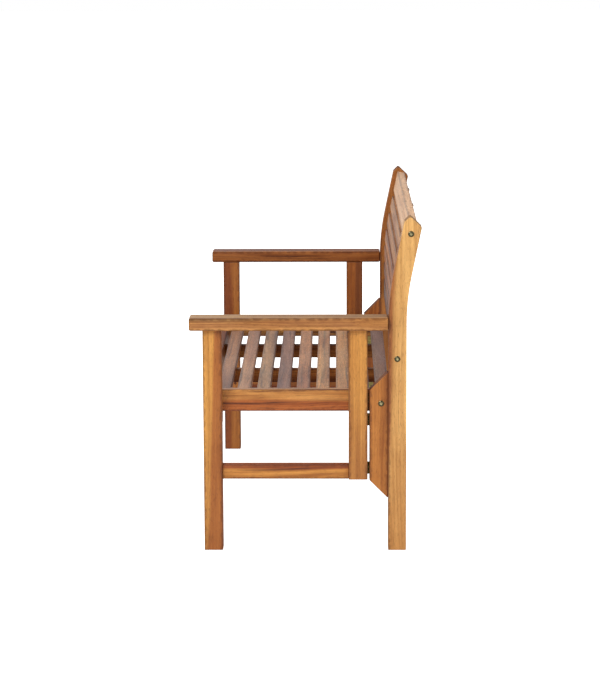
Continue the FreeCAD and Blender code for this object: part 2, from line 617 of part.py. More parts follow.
# ---------------------------------------------------------------- arm frame
RAIL_X = f"{LEG_MIDDLE} - dims.LowerRailThick / 2"
rail_start = f"({FRONT_LEG_Y} + dims.FrontLegDepth)"
rail_length = f"{POST_FRONT} - {rail_start}"
rail_board = board("rail_board", "dims.LowerRailThick", rail_length, "dims.LowerRailTall")
put(rail_board, RAIL_X, rail_start, "dims.PostBottom")
tenon_z = "dims.PostBottom + (dims.LowerRailTall - dims.TenonTall) / 2"
tenons = block("tenons", f"{LEG_MIDDLE} - dims.TenonThick / 2", f"{rail_start} - dims.TenonLength",
               tenon_z, "dims.TenonThick", f"{rail_length} + 2 * dims.TenonLength", "dims.TenonTall")
rail_solid = join("rail_solid", [rail_board, tenons])
pegs = []
peg_z = "dims.PostBottom + dims.LowerRailTall / 2"
for number, y in enumerate((
        f"{rail_start} - dims.TenonLength / 2", f"{POST_FRONT} + dims.TenonLength / 2")):
    pegs.append(rod(f"peg_{number}", "dims.PegRadius", "dims.PegLength", INSIDE, y, peg_z, ALONG_X))
keep(both_sides("tenon_pegs", pegs), "tenon_pegs")
rail = cut("rail_cut", rail_solid, pegs)
keep(rail, "lower_rail_right")
keep(mirrored("rail_mirror", rail), "lower_rail_left")

dowels = []
dowel_z = f"{ARM_UNDER} + dims.ArmDowelRise - dims.ArmDowelLength"
for joint, middle in (("front", f"{FRONT_LEG_Y} + dims.FrontLegDepth / 2"),
                      ("rear", f"{POST_FRONT} + dims.PostDepth / 2")):
    for number, step in enumerate(("-", "+")):
        dowels.append(rod(
            f"dowel_{joint}_{number}", "dims.ArmDowelRadius", "dims.ArmDowelLength",
            LEG_MIDDLE, f"{middle} {step} dims.ArmDowelSpread / 2", dowel_z, UPWARD))
keep(both_sides("arm_dowels", dowels), "arm_dowels")

cleat_screws = []
for number, share in enumerate(quarter_points):
    cleat_screws.append(wood_screw(
        f"cleat_screw_{number}", "dims.CleatScrewLength", f"{INSIDE} - dims.CleatThick",
        f"{FRONT_LEG_Y} + {share} * dims.FrontLegDepth", f"{SEAT_UNDER} - dims.CleatTall / 2", ALONG_X))
keep(both_sides("cleat_screws", cleat_screws), "cleat_screws")

pieces = [
    ("front_leg", FRONT_LEG_Y, "0", "dims.FrameThick", "dims.FrontLegDepth", ARM_UNDER, "dims.EdgeRound",
     INSIDE, [rail_solid, pegs[0], dowels[0], dowels[1]] + cleat_screws),
    ("rear_post", POST_FRONT, "dims.PostBottom", "dims.FrameThick", "dims.PostDepth",
     f"{ARM_UNDER} - dims.PostBottom", "dims.EdgeRound", INSIDE,
     [rail_solid, pegs[1], dowels[2], dowels[3]] + post_screws),
    ("armrest", FRONT, ARM_UNDER, "dims.ArmWidth", "dims.ArmLength", "dims.ArmThick", "dims.ArmRound",
     "dims.BenchLength / 2 - dims.ArmWidth", dowels),
    ("seat_rest", FRONT_LEG_Y, f"{SEAT_UNDER} - dims.CleatTall", "dims.CleatThick", "dims.FrontLegDepth",
     "dims.CleatTall", "dims.EdgeRound", f"{INSIDE} - dims.CleatThick", cleat_screws),
]
for label, y, z, length, width, height, rounding, x, tools in pieces:
    solid = put(board(label + "_board", length, width, height, rounding), x, y, z)
    right = cut(label + "_cut", solid, tools)
    keep(right, label + "_right")
    keep(mirrored(label + "_mirror", right), label + "_left")

# ---------------------------------------------------------------- seat
SEAT_FRONT = f"{FRONT} + dims.SeatFront"
seat_rail_solid, seat_rail_sketch = body("seat_rail", "YZ_Plane")
outline(seat_rail_sketch, [
    (SEAT_FRONT, SEAT_UNDER), (PIVOT_Y, SEAT_UNDER), (PIVOT_Y, "dims.SeatHeight"),
    (SEAT_FRONT, "dims.SeatHeight")], arcs={1: (PIVOT_Y, PIVOT_Z, 1)})
put(pad(seat_rail_solid, seat_rail_sketch, "dims.SeatRailThick", "dims.EdgeRound"), SEAT_INSIDE)
pivot_bore = rod("pivot_bore", "dims.PivotRadius + dims.PivotPlay", "3 * dims.SeatRailThick",
                 f"{SEAT_INSIDE} - dims.SeatRailThick", PIVOT_Y, PIVOT_Z, ALONG_X)
corner_screws = []
for number, share in enumerate(quarter_points):
    corner_screws.append(wood_screw(
        f"corner_screw_{number}", "dims.FrontScrewLength", SEAT_OUTSIDE,
        f"{SEAT_FRONT} + dims.FrontRailThick / 2", f"dims.SeatHeight - {share} * dims.FrontRailTall",
        INWARD))
keep(both_sides("seat_corner_screws", corner_screws), "seat_corner_screws")
seat_rail = cut("seat_rail_cut", seat_rail_solid,
                [pivot_bore] + [slat for slat, _ in seat_slats] + corner_screws)
keep(seat_rail, "seat_rail_right")
keep(mirrored("seat_rail_mirror", seat_rail), "seat_rail_left")

front_rail = board("front_rail", f"2 * {SEAT_INSIDE}", "dims.FrontRailThick", "dims.FrontRailTall")
put(front_rail, f"-{SEAT_INSIDE}", SEAT_FRONT, "dims.SeatHeight - dims.FrontRailTall")
bearer_x = "(dims.BearerSpread - dims.BearerThick) / 2"
bearer_y = f"{SEAT_FRONT} + dims.FrontRailThick"
bearer_z = "dims.SeatHeight - dims.SeatSlatThick - dims.BearerTall"
bearer_length = f"dims.FirstGap + {seat_slat_count} * dims.SeatSlatWide" \
                f" + {seat_slat_count - 1} * dims.SeatSlatGap"
bearer = put(board("bearer", "dims.BearerThick", bearer_length, "dims.BearerTall"),
             bearer_x, bearer_y, bearer_z)
slat_screws, counterbores = [], []
for number, (_, y) in enumerate(seat_slats, 1):
    at = ("dims.BearerSpread / 2", f"{y} + dims.SeatSlatWide / 2", f"{bearer_z} + dims.CounterboreDepth")
    slat_screws.append(wood_screw(f"slat_screw_{number}", "dims.SlatScrewLength", *at, UPWARD))
    counterbores.append(rod(f"counterbore_{number}", "dims.CounterboreRadius", "dims.CounterboreDepth",
                            at[0], at[1], bearer_z, UPWARD))
keep(both_sides("seat_slat_screws", slat_screws), "seat_slat_screws")
bearer_dowel = rod("bearer_dowel", "dims.WingDowelRadius", "dims.BearerDowelLength",
                   "dims.BearerSpread / 2", f"{bearer_y} - dims.BearerDowelReach",
                   "dims.SeatHeight - dims.FrontRailTall + dims.BearerDowelRise", ALONG_Y)
bearer_dowels = keep(both_sides("bearer_dowels", [bearer_dowel]), "bearer_dowels")
right_bearer = cut("bearer_cut", bearer, [group("counterbore_row", counterbores),
                                          group("slat_screw_row", slat_screws), bearer_dowel])
keep(right_bearer, "seat_bearer_right")
keep(mirrored("bearer_mirror", right_bearer), "seat_bearer_left")
screws_of_corners = both_sides("corner_screws_of_rail", corner_screws)
keep(cut("front_rail_cut", front_rail, [screws_of_corners, bearer_dowels]), "seat_front_rail")
for number, (slat, _) in enumerate(seat_slats, 1):
    own = both_sides(f"slat_screws_{number}", [slat_screws[number - 1]])
    keep(cut(f"seat_slat_{number}_cut", slat, [own]), f"seat_slat_{number}")

# ---------------------------------------------------------------- check and write
doc.recompute()
for thing in doc.Objects:
    if "Invalid" in thing.State or "Error" in thing.State:
        raise RuntimeError(f"{thing.Label}: {thing.State} {thing.getStatusString()}")
os.makedirs("parts", exist_ok=True)
for thing in kept:
    shape = thing.Shape
    if shape.isNull() or not shape.isValid() or not shape.Solids:
        raise RuntimeError(f"{thing.Label} has no valid solid")
    shape.exportStep(f"parts/{thing.Label}.step")
    print(f"{thing.Label:22s} {len(shape.Solids):3d} {shape.Volume / 1000:9.1f} cm3")
box = Part.makeCompound([thing.Shape for thing in kept]).BoundBox
print(f"{len(kept)} sub-parts, {box.XLength:.1f} x {box.YLength:.1f} x {box.ZLength:.1f} mm,"
      f" Y {box.YMin:.2f} to {box.YMax:.2f}, Z from {box.ZMin:.2f}")
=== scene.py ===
# Folding garden bench in oiled acacia: materials, fittings, light and camera.
# Metres; X runs along the bench, -Y is the front, +Z is up.
import math
import bpy
import numpy as np
from mathutils import Euler, Matrix, Vector


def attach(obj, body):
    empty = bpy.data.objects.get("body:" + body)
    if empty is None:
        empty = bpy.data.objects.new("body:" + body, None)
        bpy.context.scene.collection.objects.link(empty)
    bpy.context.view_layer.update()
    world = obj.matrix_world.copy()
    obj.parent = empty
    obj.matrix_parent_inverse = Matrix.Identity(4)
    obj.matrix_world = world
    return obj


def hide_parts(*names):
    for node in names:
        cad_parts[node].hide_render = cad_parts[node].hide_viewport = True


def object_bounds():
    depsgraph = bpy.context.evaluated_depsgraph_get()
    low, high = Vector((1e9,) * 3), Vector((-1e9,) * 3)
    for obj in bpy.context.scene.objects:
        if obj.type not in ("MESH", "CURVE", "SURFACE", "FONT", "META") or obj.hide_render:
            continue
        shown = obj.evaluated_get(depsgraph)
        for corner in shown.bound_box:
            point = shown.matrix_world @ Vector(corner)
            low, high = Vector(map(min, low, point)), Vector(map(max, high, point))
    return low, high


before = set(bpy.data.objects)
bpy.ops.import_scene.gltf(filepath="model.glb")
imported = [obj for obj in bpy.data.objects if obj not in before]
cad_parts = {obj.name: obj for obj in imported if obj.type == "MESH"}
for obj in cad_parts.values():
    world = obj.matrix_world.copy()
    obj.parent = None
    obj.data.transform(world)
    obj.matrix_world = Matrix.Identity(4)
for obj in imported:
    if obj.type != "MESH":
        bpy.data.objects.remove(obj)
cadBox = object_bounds()
benchCentre = (cadBox[0] + cadBox[1]) / 2
scene = bpy.context.scene
print("frame loaded:", len(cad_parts), "CAD nodes")

view = {
    "distance": 5.7008,      # from the near armrest, along the bench
    "sideways": 0.0785,      # towards the back
    "height": 1.6626,
    "pitchDown": 9.042,      # degrees
    "turn": -0.915,          # degrees, positive towards the back
    "roll": 0.239,
    "focal": 3.231,          # in heights of the picture
    "shift": 0.12,           # the same, downwards
    "sensor": 36,            # millimetres
    "clipEnd": 60,
}


def makeCamera():
    data = bpy.data.cameras.new("camera")
    data.sensor_width = view["sensor"]
    data.lens = view["focal"] * data.sensor_width
    data.shift_y = -view["shift"]
    data.clip_end = view["clipEnd"]
    camera = bpy.data.objects.new("camera", data)
    camera.location = (cadBox[1].x + view["distance"], view["sideways"], view["height"])
    # facing turns the camera to look along -X; roll and pitch come before it, the turn after it
    facing = Euler((math.radians(90), 0, math.radians(90)), "XYZ").to_matrix()
    pitch = Euler((math.radians(-view["pitchDown"]), 0, 0)).to_matrix()
    turn = Euler((0, 0, math.radians(-view["turn"]))).to_matrix()
    roll = Euler((0, 0, math.radians(-view["roll"]))).to_matrix()
    camera.rotation_mode = "QUATERNION"
    camera.rotation_quaternion = (turn @ facing @ pitch @ roll).to_quaternion()
    scene.collection.objects.link(camera)
    scene.camera = camera


makeCamera()

studio = {
    "skyLight": 0.62,        # what the white surroundings throw on the bench
    "skySeen": 1.0,          # and what the camera sees of them
    "lamps": {               # place, aim height, diameter, watts
        "key": ((3.3, -1.5, 2.7), 0.55, 1.8, 74),
        "fill": ((2.2, 3.6, 2.4), 0.45, 3.0, 34),
        "far": ((-3.6, -1.6, 2.6), 0.45, 3.0, 34),
    },
    "floorSize": 30,
    "floorTone": 0.80,
    "floorRoughness": 0.9,
    "floorSpecular": 0.1,
    "floorGlow": 1.0,        # seen by the camera only: lifts the floor to the white around it
}


def areaLight(name, place, aimHeight, size, power):
    data = bpy.data.lights.new(name, "AREA")
    data.shape = "DISK"
    data.size = size
    data.energy = power
    lamp = bpy.data.objects.new(name, data)
    lamp.location = place
    lamp.rotation_mode = "QUATERNION"
    aim = Vector((benchCentre.x, benchCentre.y, aimHeight))
    lamp.rotation_quaternion = (aim - Vector(place)).to_track_quat("-Z", "Y")
    scene.collection.objects.link(lamp)


def makeSky():
    # white all round, with one strength for the bench and another for what the camera sees
    world = bpy.data.worlds.new("studio")
    world.use_nodes = True
    tree = world.node_tree
    background = tree.nodes["Background"]
    background.inputs["Color"].default_value = (1, 1, 1, 1)
    strength = tree.nodes.new("ShaderNodeMapRange")
    strength.inputs["To Min"].default_value = studio["skyLight"]
    strength.inputs["To Max"].default_value = studio["skySeen"]
    lightPath = tree.nodes.new("ShaderNodeLightPath")
    tree.links.new(lightPath.outputs["Is Camera Ray"], strength.inputs["Value"])
    tree.links.new(strength.outputs["Result"], background.inputs["Strength"])
    scene.world = world


def makeFloor():
    half = studio["floorSize"]
    mesh = bpy.data.meshes.new("floor")
    corners = [(-half, -half, 0), (half, -half, 0), (half, half, 0), (-half, half, 0)]
    mesh.from_pydata(corners, [], [(0, 1, 2, 3)])
    floor = bpy.data.objects.new("floor", mesh)
    scene.collection.objects.link(floor)
    paint = bpy.data.materials.new("floorPaint")
    paint.use_nodes = True
    tree = paint.node_tree
    shader = tree.nodes["Principled BSDF"]
    tone = studio["floorTone"]
    shader.inputs["Base Color"].default_value = (tone, tone, tone, 1)
    shader.inputs["Roughness"].default_value = studio["floorRoughness"]
    shader.inputs["Specular IOR Level"].default_value = studio["floorSpecular"]
    shader.inputs["Emission Color"].default_value = (1, 1, 1, 1)
    glow = tree.nodes.new("ShaderNodeMath")
    glow.operation = "MULTIPLY"
    glow.inputs[1].default_value = studio["floorGlow"]
    lightPath = tree.nodes.new("ShaderNodeLightPath")
    tree.links.new(lightPath.outputs["Is Camera Ray"], glow.inputs[0])
    tree.links.new(glow.outputs[0], shader.inputs["Emission Strength"])
    mesh.materials.append(paint)


makeSky()
makeFloor()
for name, (place, aimHeight, size, power) in studio["lamps"].items():
    areaLight(name, place, aimHeight, size, power)
scene.view_settings.view_transform = "Standard"
print("camera, light and floor made")


class NodeMaker:
    # adds a node to a tree in one line; an input is another node's socket or a plain value
    def __init__(self, tree):
        self.tree = tree

    def give(self, source, socket):
        if isinstance(source, bpy.types.NodeSocket):
            self.tree.links.new(source, socket)
        else:
            socket.default_value = source

    def add(self, kind, inputs=None, **settings):
        node = self.tree.nodes.new(kind)
        for name, setting in settings.items():
            setattr(node, name, setting)
        for key, source in (inputs or {}).items():
            self.give(source, node.inputs[key])
        return node

    def math(self, operation, a, b=0.0, clamp=False):
        node = self.add("ShaderNodeMath", {0: a, 1: b}, operation=operation, use_clamp=clamp)
        return node.outputs[0]

    def vector(self, operation, a, b=(0, 0, 0)):
        outputs = self.add("ShaderNodeVectorMath", {0: a, 1: b}, operation=operation).outputs
        return outputs["Value"] if operation == "DOT_PRODUCT" else outputs["Vector"]

    def axis(self, vector, number):
        return self.add("ShaderNodeSeparateXYZ", {0: vector}).outputs[number]

    def colour(self, red, green, blue):
        return self.add("ShaderNodeCombineColor", {0: red, 1: green, 2: blue}).outputs[0]

    def noise(self, vector, layer, output=0):
        # a layer is how many times per metre the noise changes on each axis, where in the noise
        # it is taken, its detail and its roughness
        scale, shift, detail, roughness = layer
        place = self.add("ShaderNodeMapping", {"Vector": vector, "Scale": scale, "Location": shift})
        node = self.add("ShaderNodeTexNoise", {"Vector": place.outputs[0], "Scale": 1.0,
                                               "Detail": detail, "Roughness": roughness})
        return node.outputs[output]

    def ramp(self, value, low, high, start=0.0, end=1.0, kind="SMOOTHSTEP"):
        node = self.add("ShaderNodeMapRange", {"Value": value, "From Min": low, "From Max": high,
                                               "To Min": start, "To Max": end},
                        interpolation_type=kind)
        return node.outputs[0]

    def mix(self, factor, a, b, blend="MIX"):
        node = self.add("ShaderNodeMix", data_type="RGBA", blend_type=blend, clamp_factor=True)
        for socket, source in ((node.inputs[0], factor), (node.inputs[6], a), (node.inputs[7], b)):
            self.give(source, socket)
        return node.outputs[2]


def newGroup(name, inputs, outputs):
    # a shader node group with named sockets; inputs are (name, kind, default)
    group = bpy.data.node_groups.new(name, "ShaderNodeTree")
    for label, kind, default in inputs:
        socket = group.interface.new_socket(label, in_out="INPUT", socket_type="NodeSocket" + kind)
        if default is not None:
            socket.default_value = default
    for label, kind in outputs:
        group.interface.new_socket(label, in_out="OUTPUT", socket_type="NodeSocket" + kind)
    make = NodeMaker(group)
    return group, make, make.add("NodeGroupInput").outputs, make.add("NodeGroupOutput").inputs


def linear(code):
    # linear colour from a six-figure web colour, by the standard display curve
    parts = [int(code[i:i + 2], 16) / 255 for i in (0, 2, 4)]
    return tuple(c / 12.92 if c < 0.04045 else ((c + 0.055) / 1.055) ** 2.4 for c in parts) + (1,)


# what the grain is drawn from: changes per metre along the fibres and on the two ways across,
# the place in the noise, its detail and its roughness
grainLayers = {
    "bend": ((2.2, 7, 7), (0, 0, 0), 1.5, 0.5),
    "heart": ((0.8, 15, 15), (5, 2, 7), 3.0, 0.45),
    "bands": ((1.1, 62, 62), (0, 0, 0), 2.5, 0.6),
    "lines": ((2.5, 210, 210), (3, 1, 2), 2.0, 0.6),
    "ripple": ((26, 16, 16), (2, 8, 3), 1.5, 0.5),
    "streaks": ((0.7, 105, 105), (11, 3, 8), 3.0, 0.5),
    "film": ((5, 30, 30), (4, 4, 4), 3.0, 0.5),
    "mottle": ((38, 260, 260), (6, 2, 9), 3.0, 0.75),
    "fibres": ((9, 900, 900), (0, 0, 0), 2.0, 0.7),
    "pores": ((70, 1500, 1500), (1, 9, 4), 1.0, 0.5),
}

# how a layer is used: the noise where its effect begins and is full, its least and its greatest
grainRamps = {
    "heart": (0.93, 1.07),
    "bands": (0.28, 0.72, -0.36, 0.26),
    "lines": (0.3, 0.7, -0.17, 0.12),
    "ripple": (0.3, 0.7, -0.06, 0.06),
    "film": (0.3, 0.7, 0.4, 1.0),
    "mottle": (0.25, 0.75, -1.1, 1.1, "LINEAR"),
    "fibres": (0.2, 0.8, 0.84, 1.14, "LINEAR"),
    "fibreRough": (0.2, 0.8, -0.05, 0.07, "LINEAR"),
    "pores": (0.62, 0.72),
    "foot": (-1.0, 0.7),
    "footEdge": (0.3, 0.7, -0.25, 0.25),
}

grain = {
    "bend": 0.034,           # metres that the fibres wander
    "greenPower": 1.35,      # darker wood loses its green and blue faster than its red
    "bluePower": 1.7,
    "streakEdge": 0.74,      # noise where a streak begins when Streaks is 0
    "streakReach": 0.36,     # how far Streaks of 1 lowers that
    "streakWidth": 0.15,
    "streakDark": 0.85,
    "poreDark": 0.5,
    "dryRough": 0.14,        # roughness that pores and film add
    "fibreRise": 0.35,       # shares of the height that feeds the bump
    "lineRise": 0.5,
    "poreFall": 0.8,
}


def makeAcaciaGrain():
    # Acacia in the board's own coordinates, metres from its middle, fibres along X.
    # Heartwood is where slow drawn-out noise, plus a lean across the board, passes a threshold.
    # Bands and lines are noise drawn out along the fibres, on places that slow noise has bent.
    # Dark streaks and pores are where such noise runs high; a grey film lies in patches.
    # The painted shade at the foot fades out along the board, from its low or front end.
    group, make, given, result = newGroup("acaciaGrain", [
        ("Vector", "Vector", None),
        ("Seed", "Vector", None),
        ("Sap", "Color", (0.6, 0.3, 0.1, 1)),
        ("Heart", "Color", (0.3, 0.1, 0.03, 1)),
        ("Streak", "Color", (0.1, 0.03, 0.01, 1)),
        ("Film", "Color", (0.4, 0.33, 0.3, 1)),
        ("Heart Share", "Float", 0.5),
        ("Heart Lean", "Vector", None),
        ("Figure", "Float", 1.0),
        ("Streaks", "Float", 0.3),
        ("Grey", "Float", 0.0),
        ("Foot Shade", "Color", (1, 1, 1, 1)),
        ("Half Length", "Float", 1.0),
    ], [("Color", "Color"), ("Roughness", "Float"), ("Height", "Float")])

    def layer(name, where):
        return make.noise(where, grainLayers[name])

    def ramp(name, value):
        return make.ramp(value, *grainRamps[name])

    def shaded(colour, level):
        return make.mix(1.0, colour, make.colour(level, level, level), "MULTIPLY")

    # places along the fibres, which wander sideways
    seeded = make.vector("ADD", given["Vector"], given["Seed"])
    bend = make.noise(seeded, grainLayers["bend"], "Color")
    bend = make.vector("SUBTRACT", bend, (0.5, 0.5, 0.5))   # the noise's middle
    bend = make.vector("MULTIPLY", bend, (0, grain["bend"], grain["bend"]))
    place = make.vector("ADD", seeded, bend)

    # sapwood and heartwood
    lean = make.vector("DOT_PRODUCT", given["Vector"], given["Heart Lean"])
    heart = make.math("ADD", layer("heart", place), lean)
    heart = ramp("heart", make.math("ADD", heart, given["Heart Share"]))
    colour = make.mix(heart, given["Sap"], given["Heart"])

    # growth bands, lines and a ripple across them
    bands = layer("bands", place)
    lines = layer("lines", place)
    tone = make.math("ADD", ramp("bands", bands), ramp("lines", lines))
    tone = make.math("ADD", tone, ramp("ripple", layer("ripple", place)))
    tone = make.math("ADD", make.math("MULTIPLY", tone, given["Figure"]), 1.0)
    shade = make.colour(tone, make.math("POWER", tone, grain["greenPower"]),
                        make.math("POWER", tone, grain["bluePower"]))
    colour = make.mix(1.0, colour, shade, "MULTIPLY")

    # dark streaks
    edge = make.math("MULTIPLY", given["Streaks"], grain["streakReach"])
    edge = make.math("SUBTRACT", grain["streakEdge"], edge)
    streaks = make.ramp(layer("streaks", place), edge, make.math("ADD", edge, grain["streakWidth"]))
    streaks = make.math("MULTIPLY", streaks, grain["streakDark"])
    colour = make.mix(streaks, colour, given["Streak"])

    # grey film and its mottle
    film = make.math("MULTIPLY", ramp("film", layer("film", seeded)), given["Grey"])
    colour = make.mix(film, colour, given["Film"])
    mottle = make.math("MULTIPLY", ramp("mottle", layer("mottle", seeded)), given["Grey"])
    colour = shaded(colour, make.math("ADD", mottle, 1.0))

    # fibres and pores
    fibres = layer("fibres", place)
    pores = ramp("pores", layer("pores", place))
    colour = shaded(colour, ramp("fibres", fibres))
    colour = make.mix(make.math("MULTIPLY", pores, grain["poreDark"]), colour, given["Streak"])

    # painted shade at the foot, darkest at the low or front end, with an edge that follows the
    # bands
    along = make.math("DIVIDE", make.axis(given["Vector"], 0), given["Half Length"])
    foot = ramp("foot", make.math("ADD", along, ramp("footEdge", bands)))
    foot = make.mix(foot, given["Foot Shade"], (1, 1, 1, 1))
    colour = make.mix(1.0, colour, foot, "MULTIPLY")

    dry = make.math("MULTIPLY", make.math("ADD", pores, given["Grey"]), grain["dryRough"])
    rough = make.math("ADD", ramp("fibreRough", fibres), dry)
    height = make.math("ADD", make.math("MULTIPLY", fibres, grain["fibreRise"]),
                       make.math("MULTIPLY", lines, grain["lineRise"]))
    height = make.math("SUBTRACT", height, make.math("MULTIPLY", pores, grain["poreFall"]))
    for label, socket in (("Color", colour), ("Roughness", rough), ("Height", height)):
        make.give(socket, result[label])
    return group


arris = {
    "width": 0.006,
    "wobbleLayer": ((60, 60, 60), (0, 0, 0), 2, 0.5),
    "wobble": (0.3, 0.7, 0.5, 1.5),   # noise, and the share of the width that it gives
    "near": (0.9, 1.7),               # sum of the two nearnesses where the shade begins, is full
    "soak": (0.5, 0.7),               # how squarely end grain is cut where soaking begins, is full
}


def makeArrisShade():
    # Arris: how near a point is to a long arris, from its depth inside the board's half sizes on
    # both ways across; each nearness falls from 1 at the face to 0 at a wobbling width.
    # Soak: how squarely the surface cuts across the fibres.
    group, make, given, result = newGroup("arrisShade", [
        ("Vector", "Vector", None),
        ("Half", "Vector", None),
        ("Normal", "Vector", None),
        ("Width", "Float", arris["width"]),
    ], [("Arris", "Float"), ("Soak", "Float")])
    depth = make.vector("SUBTRACT", given["Half"], make.vector("ABSOLUTE", given["Vector"]))
    wobble = make.ramp(make.noise(given["Vector"], arris["wobbleLayer"]), *arris["wobble"])
    reach = make.math("MULTIPLY", given["Width"], wobble)
    shares = [make.math("DIVIDE", make.axis(depth, way), reach) for way in (1, 2)]
    near = [make.math("SUBTRACT", 1.0, share, clamp=True) for share in shares]
    shade = make.ramp(make.math("ADD", *near), *arris["near"])
    soak = make.math("ABSOLUTE", make.axis(given["Normal"], 0))
    make.give(shade, result["Arris"])
    make.give(make.ramp(soak, *arris["soak"]), result["Soak"])
    return group


acaciaGrain = makeAcaciaGrain()
arrisShade = makeArrisShade()

wood = {
    "coat": 0.10,
    "coatRoughness": 0.35,
    "specular": 0.35,
    "dry": ("armrest", "seat_front_rail", "seat_bearer"),   # boards with little oil left
    "dryShare": 0.3,         # and how much of the coat and highlight they keep
    "bumpDepth": 0.0006,
    "bumpStrength": 0.6,
    "streak": "4a2110",
    "film": "9c8a86",
    "arrisOilAndShade": 0.50,
    "soakDark": 0.62,
    "soakRough": 0.42,
    "squareWithin": 0.05,    # cosine under which two faces of a board count as square
    "firstSeed": 1000,
    "seedReach": 3,          # metres through the noise
    "lightness": (0.86, 1.12),
    "hue": (0.96, 1.04),
    "lean": 9,               # heartwood's lean per metre, across a board and through it
}

# sapwood, heartwood, share of heartwood, figure, dark streaks, grey film, roughness
boards = {
    "rear_leg": ("c88a3c", "9a5f28", 0.30, 0.55, 0.15, 0.0, 0.42),
    "wing_plate": ("b06a2a", "92501c", 0.50, 0.60, 0.25, 0.0, 0.42),
    "front_leg": ("b97a34", "94521f", 0.45, 0.50, 0.10, 0.0, 0.42),
    "rear_post": ("bc7c30", "96602a", 0.40, 0.55, 0.20, 0.0, 0.42),
    "armrest": ("b07c42", "8a5026", 0.55, 0.85, 0.45, 0.10, 0.42),
    "lower_rail": ("b06e2e", "843f18", 0.50, 0.90, 0.45, 0.0, 0.42),
    "seat_rest": ("a86a2e", "844618", 0.50, 0.80, 0.30, 0.0, 0.42),
    "seat_rail": ("b97c36", "86401a", 0.50, 0.90, 0.62, 0.0, 0.42),
    "seat_front_rail": ("a8682c", "7c3f1a", 0.50, 0.90, 0.50, 0.0, 0.42),
    "seat_bearer": ("8a5424", "643414", 0.50, 0.80, 0.30, 0.0, 0.45),
    "seat_slat": ("94684a", "74452e", 0.50, 0.85, 0.45, 0.30, 0.45),
    "back_slat": ("94684a", "74452e", 0.50, 0.85, 0.45, 0.25, 0.45),
    "crest_rail": ("b08a68", "90603c", 0.35, 0.55, 0.12, 0.22, 0.45),
    "back_bottom_rail": ("94684a", "74452e", 0.50, 0.85, 0.45, 0.25, 0.45),
    "back_batten": ("8a5a30", "6a3c1c", 0.50, 0.80, 0.30, 0.0, 0.45),
    "arm_dowels": ("a9743c", "8a5526", 0.40, 0.80, 0.30, 0.0, 0.50),
    "wing_dowels": ("a9743c", "8a5526", 0.40, 0.80, 0.30, 0.0, 0.50),
    "bearer_dowels": ("a9743c", "8a5526", 0.40, 0.80, 0.30, 0.0, 0.50),
    "tenon_pegs": ("8a5526", "643a1a", 0.50, 0.80, 0.30, 0.0, 0.50),
}

# single boards that differ from their kind: tint, heartwood's own colour, share of heartwood, its
# lean per metre (along the board, across it and through it), and the painted shade at its low or
# front end
singles = {
    # the darker tints of rear_leg_left, rear_post_left, front_leg_left and armrest_left are painted
    # shade, for light falling off towards the far end
    "rear_leg_right": {"tint": (1.36, 1.68, 3.0), "heart": "ac6a36", "share": 0.03,
                       "lean": (0.8, -14, 0), "foot": (0.72, 0.59, 0.5)},
    "rear_leg_left": {"tint": (0.7, 0.55, 0.55)},
    "wing_plate_right": {"tint": (1.13, 1.2, 1.4), "share": 0.25, "lean": (0, 9, 0)},
    "wing_plate_left": {"tint": (1.3, 1.3, 1.3)},
    "rear_post_right": {"tint": (1.28, 1.38, 1.9), "share": 0.2, "foot": (0.72, 0.64, 0.72)},
    "rear_post_left": {"tint": (0.78, 0.58, 0.6), "share": 0.38, "lean": (0, 12, 0)},
    "front_leg_right": {"tint": (1.42, 1.6, 1.9), "share": 0.42, "lean": (-0.5, 11, 0),
                        "foot": (0.86, 0.82, 0.84)},
    "front_leg_left": {"tint": (0.86, 0.72, 0.68), "lean": (0, -11, 0)},
    "armrest_right": {"tint": (1.33, 1.25, 1.2), "heart": "ae8048", "share": 0.36,
                      "lean": (-0.3, 0, -25)},
    "armrest_left": {"tint": (0.84, 0.6, 0.5)},
    "lower_rail_right": {"tint": (1.4, 1.55, 1.7), "share": 0.39, "lean": (0, 14, 0)},
    "seat_rail_right": {"tint": (1.3, 1.35, 1.8), "heart": "b4622a", "share": 0.5,
                        "lean": (0, -11, 0)},
    "crest_rail": {"tint": (2.1, 2.1, 2.0)},
    "back_slat_5": {"tint": (2.2, 2.15, 1.55)},
    "back_slat_4": {"tint": (1.95, 1.75, 1.2)},
    "back_slat_3": {"tint": (1.85, 1.5, 1.0)},
    "back_slat_2": {"tint": (1.75, 1.4, 0.95)},
    "back_slat_1": {"tint": (1.6, 1.35, 0.95)},
    "seat_slat_1": {"tint": (1.18, 0.97, 0.68)},
    "seat_slat_2": {"tint": (1.67, 1.57, 1.22)},
    "seat_slat_3": {"tint": (1.38, 1.38, 1.0)},
    "seat_slat_4": {"tint": (0.98, 0.84, 0.84)},
    "seat_slat_5": {"tint": (1.76, 1.48, 1.0)},
    "seat_slat_6": {"tint": (2.28, 2.2, 1.36)},
    "seat_slat_7": {"tint": (2.02, 1.9, 1.16)},
}


def boardFrame(node):
    # middle, half sizes and axes of a board: its largest triangle gives one axis, the largest
    # triangle square to that the next, and the longest way is put first
    mesh = node.data
    normals = np.empty(len(mesh.polygons) * 3)
    areas = np.empty(len(mesh.polygons))
    points = np.empty(len(mesh.vertices) * 3)
    mesh.polygons.foreach_get("normal", normals)
    mesh.polygons.foreach_get("area", areas)
    mesh.vertices.foreach_get("co", points)
    normals = normals.reshape(-1, 3)
    points = points.reshape(-1, 3)
    first = normals[np.argmax(areas)]
    square = np.abs(normals @ first) < wood["squareWithin"]
    second = normals[np.argmax(areas * square)]
    axes = np.stack([first, second, np.cross(first, second)])
    local = points @ axes.T
    axes = axes[np.argsort(local.min(axis=0) - local.max(axis=0))]
    # the first two axes point the way of the frame's own, and the third keeps the set right-handed
    for row in range(2):
        axes[row] *= np.sign(axes[row][np.argmax(np.abs(axes[row]))])
    axes[2] = np.cross(axes[0], axes[1])
    local = points @ axes.T
    low, high = local.min(axis=0), local.max(axis=0)
    return (low + high) / 2 @ axes, (high - low) / 2, axes


